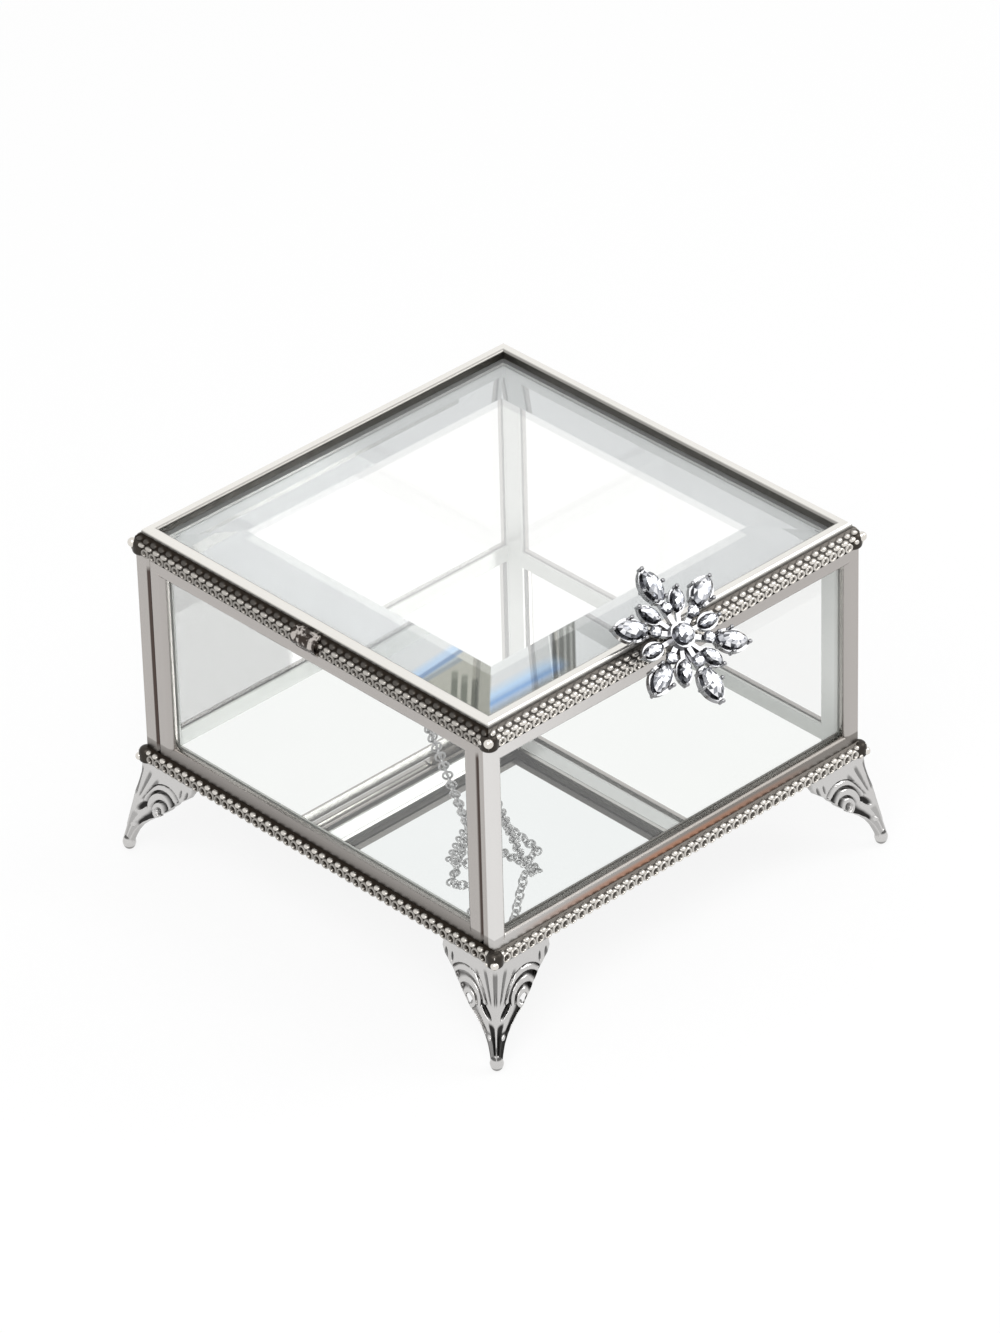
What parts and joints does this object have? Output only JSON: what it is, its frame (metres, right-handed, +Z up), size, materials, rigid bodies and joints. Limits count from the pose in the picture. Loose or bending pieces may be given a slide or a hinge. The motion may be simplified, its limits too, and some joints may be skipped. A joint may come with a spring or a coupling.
{
  "type": "glass casket box",
  "caption": "Square glazed metal casket on corner feet, with a hinged lid of bevelled glass, beaded trim, a jewelled flower on the lid and a stay chain.",
  "frame": {"origin": "centre of the underside of the mirror floor, on the middle of the square body", "axes": "+Z up; +X to the right seen from the front; the brooch is at the front (-Y) and the hinge line at the back (+Y) runs along X"},
  "size_m": [0.123, 0.1346, 0.0977],
  "materials": {
    "frame_metal": "soft nickel plate",
    "trim_metal": "nickel plate with dark hollows",
    "cast_metal": "polished cast nickel",
    "bright_metal": "bright plate",
    "pane_glass": "clear",
    "lid_glass": "clear, bevelled",
    "mirror": "silvered",
    "crystal": "cut and polished"
  },
  "bodies": {
    "box": {"mirror_floor": "mirror", "pane_front": "pane_glass", "pane_back": "pane_glass", "pane_left": "pane_glass", "pane_right": "pane_glass", "front_top_rail": "frame_metal", "front_bottom_rail": "frame_metal", "front_left_stile": "frame_metal", "front_right_stile": "frame_metal", "back_top_rail": "frame_metal", "back_bottom_rail": "frame_metal", "back_left_stile": "frame_metal", "back_right_stile": "frame_metal", "left_top_rail": "frame_metal", "left_bottom_rail": "frame_metal", "left_left_stile": "frame_metal", "left_right_stile": "frame_metal", "right_top_rail": "frame_metal", "right_bottom_rail": "frame_metal", "right_left_stile": "frame_metal", "right_right_stile": "frame_metal", "base_trim_front": "trim_metal", "base_trim_back": "trim_metal", "base_trim_left": "trim_metal", "base_trim_right": "trim_metal", "foot_front_left": "cast_metal", "foot_front_right": "cast_metal", "foot_back_left": "cast_metal", "foot_back_right": "cast_metal", "hinge_end_tubes": "frame_metal", "hinge_rod": "frame_metal", "chain_eye_body": "bright_metal", "stay_chain_1": "bright_metal", "stay_chain_2": "bright_metal", "stay_chain_3": "bright_metal", "stay_chain_4": "bright_metal", "stay_chain_5": "bright_metal", "stay_chain_6": "bright_metal", "stay_chain_7": "bright_metal", "stay_chain_8": "bright_metal", "stay_chain_9": "bright_metal"},
    "lid": {"lid_rail_front": "frame_metal", "lid_rail_back": "frame_metal", "lid_rail_left": "frame_metal", "lid_rail_right": "frame_metal", "lid_glass": "lid_glass", "lid_trim_front": "trim_metal", "lid_trim_back": "trim_metal", "lid_trim_left": "trim_metal", "lid_trim_right": "trim_metal", "lid_trim_sleeve": "trim_metal", "hinge_lid_tube": "frame_metal", "chain_eye_lid": "bright_metal", "brooch_frame": "bright_metal", "brooch_petal_stones": "crystal", "brooch_round_stones": "crystal", "brooch_bracket": "bright_metal"},
    "chain_end": {"stay_chain_10": "bright_metal", "stay_chain_11": "bright_metal"}
  },
  "joints": [
    {"name": "lid_hinge", "type": "hinge", "parent": "box", "child": "lid", "pos_m": [0, 0.058, 0.052], "axis": [-1, 0, 0], "range_deg": [0, 95]},
    {"name": "chain_swing", "type": "hinge", "parent": "lid", "child": "chain_end", "pos_m": [-0.0505, -0.0465, 0.05195], "axis": [1, 0, 0], "range_deg": [0, 75]}
  ],
  "couplings": [
    {"joint": "chain_swing", "follows": "lid_hinge", "ratio": 0.78947}
  ]
}
